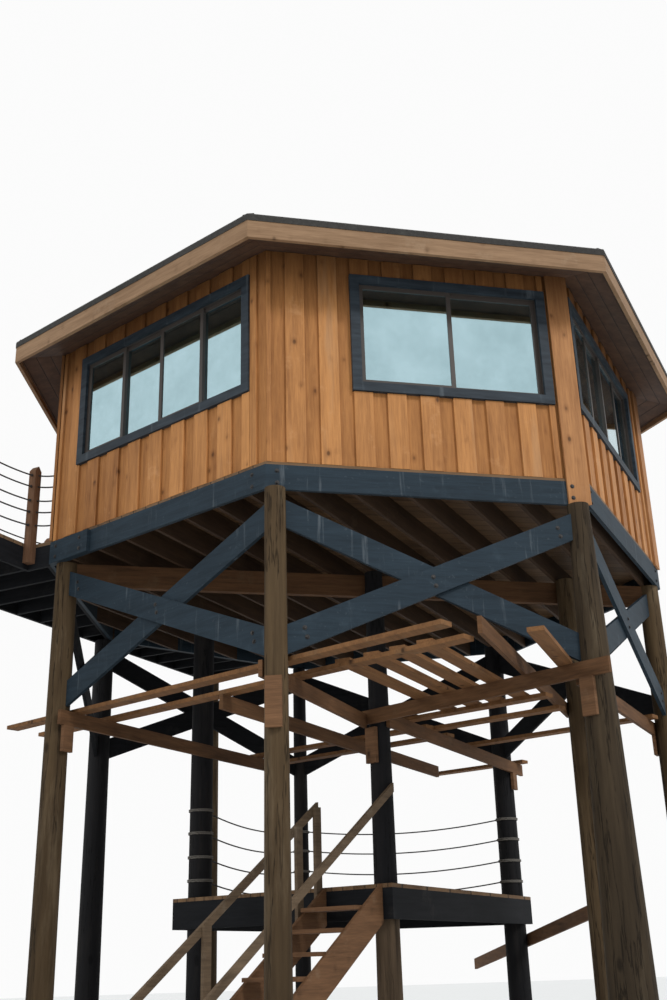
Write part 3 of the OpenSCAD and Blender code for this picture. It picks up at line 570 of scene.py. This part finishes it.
def addBolt():
    # the head points to -y and the washer lies on y = 0
    clear()
    middle = -bolt["washerH"] / 2
    bpy.ops.mesh.primitive_cylinder_add(vertices=12, radius=bolt["washerR"], depth=bolt["washerH"],
                                        location=(0, middle, 0), rotation=(quarter, 0, 0))
    washer = shapeEdges(bpy.context.object, 0.0008, 1)
    clear()
    middle = -bolt["washerH"] - bolt["headH"] / 2
    bpy.ops.mesh.primitive_cylinder_add(vertices=6, radius=bolt["headR"], depth=bolt["headH"],
                                        location=(0, middle, 0), rotation=(quarter, 0, 0))
    head = shapeEdges(bpy.context.object, 0.002, 2)
    clear()
    washer.select_set(True)
    head.select_set(True)
    bpy.context.view_layer.objects.active = washer
    bpy.ops.object.join()
    bpy.ops.object.transform_apply(location=True, rotation=True, scale=True)
    return bpy.context.object


pattern = addBolt()
boltSpots = []
for side in range(cabin["sides"]):
    for x in bolt["ends"]:
        for z in bolt["rows"]:
            if side == 1 and x < 0:
                continue
            y = bolt["raisedFace"] if side == 0 and x > 0 else 0.0
            boltSpots.append(wallMatrix(side) @ Matrix.Translation((x, y, z)))
for x in bolt["doubler"]:
    for z in bolt["rows"]:
        boltSpots.append(wallMatrix(1) @ Matrix.Translation((x, bolt["doublerFace"], z)))

# pairs of bolts at the ends and the crossing of each outer brace, and the feet of the logs they join
brace = dict(top=5.41, low=4.19, plank=0.038, end=0.24, crossing=0.03, apart=0.04, shift=0.02)
feet = dict(frontLeft=corner(0) + Vector((0.085, 0)), left=corner(1) + Vector((0.177, -0.038)),
            right=corner(5) + Vector((-0.177, -0.038)), frontRight=corner(6) + Vector((-0.115, 0.010)))
for a, b, rises in (("frontLeft", "frontRight", True), ("left", "frontLeft", False), ("frontRight", "right", False)):
    p, q = feet[a], feet[b]
    run = (q - p).length
    z0, z1 = (brace["low"], brace["top"]) if rises else (brace["top"], brace["low"])
    depth = cabin["beamDepth"] / math.cos(math.atan2(abs(z1 - z0), run))
    spin = Matrix.Translation((p.x, p.y, 0)) @ Matrix.Rotation(math.atan2(q.y - p.y, q.x - p.x), 4, "Z")
    face = -brace["plank"] - 0.0003
    for t in (brace["end"], run / 2 - brace["crossing"], run - brace["end"]):
        z = z0 + (z1 - z0) * t / run - depth / 2
        boltSpots.append(spin @ Matrix.Translation((t, face, z + brace["apart"])))
        boltSpots.append(spin @ Matrix.Translation((t + brace["shift"], face, z - brace["apart"])))
joinPieces("bolts", [addCopy(pattern, spot) for spot in boltSpots], looks["steel"])
bpy.data.objects.remove(pattern)
print("bolts built:", len(boltSpots))

# knots where the ropes meet the railing posts: near and far are the deck's two rows of posts, and
# spots the posts' places along the deck
rail = dict(post=0.089, ropeR=0.008, up=(0.235, 0.385, 0.515, 0.675, 0.805), walk=2.4, neck=0.205)
way = Vector((math.cos(joistWay), math.sin(joistWay)))
across = Vector((-way.y, way.x))
near = corner(1) + Vector((-0.230, 0.190))
far = near + across * ((corner(2) + across * rail["neck"] - near).dot(across))
deckLen = cabin["wallRun"] * 1.72
halfPost = rail["post"] / 2
nearSpots = [-rail["walk"] + halfPost, -rail["walk"] / 2, -halfPost - 0.005]
farSpots = [-rail["walk"] + halfPost, -rail["walk"] / 2, halfPost, deckLen / 3, deckLen * 2 / 3, deckLen - halfPost]


def addKnot(spot):
    clear()
    bpy.ops.mesh.primitive_uv_sphere_add(segments=10, ring_count=6, radius=rail["ropeR"] * 1.75, location=spot)
    knot = bpy.context.object
    knot.scale = (1, 1, 1.15)
    mod = knot.modifiers.new("lay", "SIMPLE_DEFORM")
    mod.deform_method, mod.angle = "TWIST", 1.2
    clear()
    knot.select_set(True)
    bpy.ops.object.modifier_apply(modifier=mod.name)
    bpy.ops.object.shade_smooth()
    return knot


knots = []
off = halfPost + 0.0003
reach = halfPost + 0.009
for base, spots, out in ((near, nearSpots, -off), (far, farSpots, off)):
    for i, spot in enumerate(spots):
        for up in rail["up"]:
            for end in ((-1,) if i == len(spots) - 1 else (1,) if i == 0 else (-1, 1)):
                place = base + way * (spot + end * reach) + across * out
                knots.append(addKnot((place.x, place.y, cabin["beamTop"] + up)))

# turns of rope round the logs of the landing: each log's place, and its radius at foot and beam
wraps = dict(floor=2.275, up=(0.18, 0.43, 0.69, 0.94), apart=0.008, bite=0.9, logs=(
    ((-1.624, 2.036), 0.140, 0.120), ((-0.040, 4.425), 0.110, 0.085), ((2.388, 2.9915), 0.145, 0.115)))
turns = []
for spot, r0, r1 in wraps["logs"]:
    for up in wraps["up"]:
        z = wraps["floor"] + up
        r = r0 + (r1 - r0) * z / cabin["beamLow"] + rail["ropeR"] * wraps["bite"]
        for lift in (-wraps["apart"], wraps["apart"]):
            clear()
            bpy.ops.mesh.primitive_torus_add(major_segments=36, minor_segments=8, major_radius=r,
                                             minor_radius=rail["ropeR"], location=(*spot, z + lift))
            bpy.ops.object.shade_smooth()
            turns.append(bpy.context.object)
print("ropes tied:", len(knots), len(turns))
# the knots take the dark, painted-shade copy of the rope colour
joinPieces("rope_knots", knots, looks["rope"])
joinPieces("rope_turns", turns, looks["paleRope"])

# upright boards and two rungs on the entry door's leaf
door = dict(wall=2, x=0.43, width=0.80, low=5.762, high=7.728, face=0.045, boards=6, step=0.132, board=0.126,
            thick=0.008, rung=0.11, rungThick=0.014, rungFace=0.0145, rungIn=0.25)
doorway = wallMatrix(door["wall"])
pieces = []
for i in range(door["boards"]):
    x = door["x"] + (i - (door["boards"] - 1) / 2) * door["step"]
    board = addBoard((door["board"], door["thick"], door["high"] - door["low"] - 0.01), 0.002)
    toneBoard(board)
    spot = (x, door["face"] - door["thick"] / 2, (door["high"] + door["low"]) / 2)
    board.matrix_world = doorway @ Matrix.Translation(spot)
    pieces.append(board)
for z in (door["low"] + door["rungIn"], door["high"] - door["rungIn"]):
    rung = addBoard((door["width"] - 0.03, door["rungThick"], door["rung"]), 0.003)
    toneBoard(rung)
    rung.matrix_world = doorway @ Matrix.Translation((door["x"], door["face"] - door["rungFace"], z))
    pieces.append(rung)
joinPieces("door_boards", pieces, looks["siding"])

# pull handle on the door: a bar on two stems
pull = dict(x=door["x"] - 0.335, z=door["low"] + 1.02, stand=0.034, bar=0.24, barR=0.009, stemR=0.006, stems=0.09)
rods = []


def addRod(up, length, radius, out, lean):
    clear()
    bpy.ops.mesh.primitive_cylinder_add(vertices=16, radius=radius, depth=length)
    rod = shapeEdges(bpy.context.object, 0.0015, 2)
    spot = (pull["x"], door["face"] - door["thick"] - out, pull["z"] + up)
    rod.matrix_world = doorway @ Matrix.Translation(spot) @ Matrix.Rotation(lean, 4, "X")
    rods.append(rod)


addRod(0, pull["bar"], pull["barR"], pull["stand"], 0)
for up in (-pull["stems"], pull["stems"]):
    addRod(up, pull["stand"], pull["stemR"], pull["stand"] / 2, quarter)
joinPieces("door_handle", rods, looks["steel"])
print("door dressed")

# floor, light and camera; white is what the camera, mirrors and glass see behind the part
studio = dict(floor=(0.80, 0.80, 0.79), floorSize=120, sky=(0.95, 0.98, 1, 1), skyLevel=0.72,
              white=(1, 1, 1, 1), whiteLevel=0.97)
clear()
bpy.ops.mesh.primitive_plane_add(size=studio["floorSize"], location=(0, 0, -0.002))
ground = bpy.context.object
ground.name = "stage_floor"
ground.data.materials.append(Look("stageFloor").finish(studio["floor"], 0.9))

world = bpy.data.worlds.new("studio")
bpy.context.scene.world = world
world.use_nodes = True
tree = world.node_tree
tree.nodes.clear()
paths = tree.nodes.new("ShaderNodeLightPath")
lit, seen = tree.nodes.new("ShaderNodeBackground"), tree.nodes.new("ShaderNodeBackground")
for node, colour in ((lit, "sky"), (seen, "white")):
    node.inputs["Color"].default_value = studio[colour]
    node.inputs["Strength"].default_value = studio[colour + "Level"]
blend, out = tree.nodes.new("ShaderNodeMixShader"), tree.nodes.new("ShaderNodeOutputWorld")
direct, either = tree.nodes.new("ShaderNodeMath"), tree.nodes.new("ShaderNodeMath")
direct.operation = either.operation = "MAXIMUM"
tree.links.new(paths.outputs["Is Camera Ray"], direct.inputs[0])
tree.links.new(paths.outputs["Is Transmission Ray"], direct.inputs[1])
tree.links.new(direct.outputs[0], either.inputs[0])
tree.links.new(paths.outputs["Is Glossy Ray"], either.inputs[1])
tree.links.new(either.outputs[0], blend.inputs[0])
tree.links.new(lit.outputs[0], blend.inputs[1])
tree.links.new(seen.outputs[0], blend.inputs[2])
tree.links.new(blend.outputs[0], out.inputs[0])


def addSun(name, energy, aim, angle):
    lamp = bpy.data.lights.new(name, "SUN")
    lamp.energy, lamp.angle = energy, math.radians(angle)
    sun = bpy.data.objects.new(name, lamp)
    sun.rotation_euler = Vector(aim).to_track_quat("-Z", "Y").to_euler()
    bpy.context.collection.objects.link(sun)


addSun("key_sun", 1.3, (-0.45, 0.75, -0.7), 12)
addSun("side_sun", 0.6, (0.9, 0.4, -0.35), 25)

# the camera stands where the fit to the photograph puts it
view = dict(place=(-2.8722, -11.3957, 1.6209), lens=41.03, sensor=36, reach=300,
            up=(-0.0515, -0.3700, 0.9276), ahead=(0.1954, 0.9072, 0.3727))
lens = bpy.data.cameras.new("camera")
lens.lens, lens.sensor_width, lens.sensor_fit = view["lens"], view["sensor"], "AUTO"
lens.clip_end = view["reach"]
camera = bpy.data.objects.new("camera", lens)
bpy.context.collection.objects.link(camera)
ahead = Vector(view["ahead"]).normalized()
right = ahead.cross(Vector(view["up"])).normalized()
up = right.cross(ahead)
camera.matrix_world = Matrix.Translation(view["place"]) @ Matrix((right, up, -ahead)).transposed().to_4x4()
bpy.context.scene.camera = camera
bpy.context.scene.view_settings.view_transform = "Standard"
print("studio set")

bpy.context.view_layer.update()
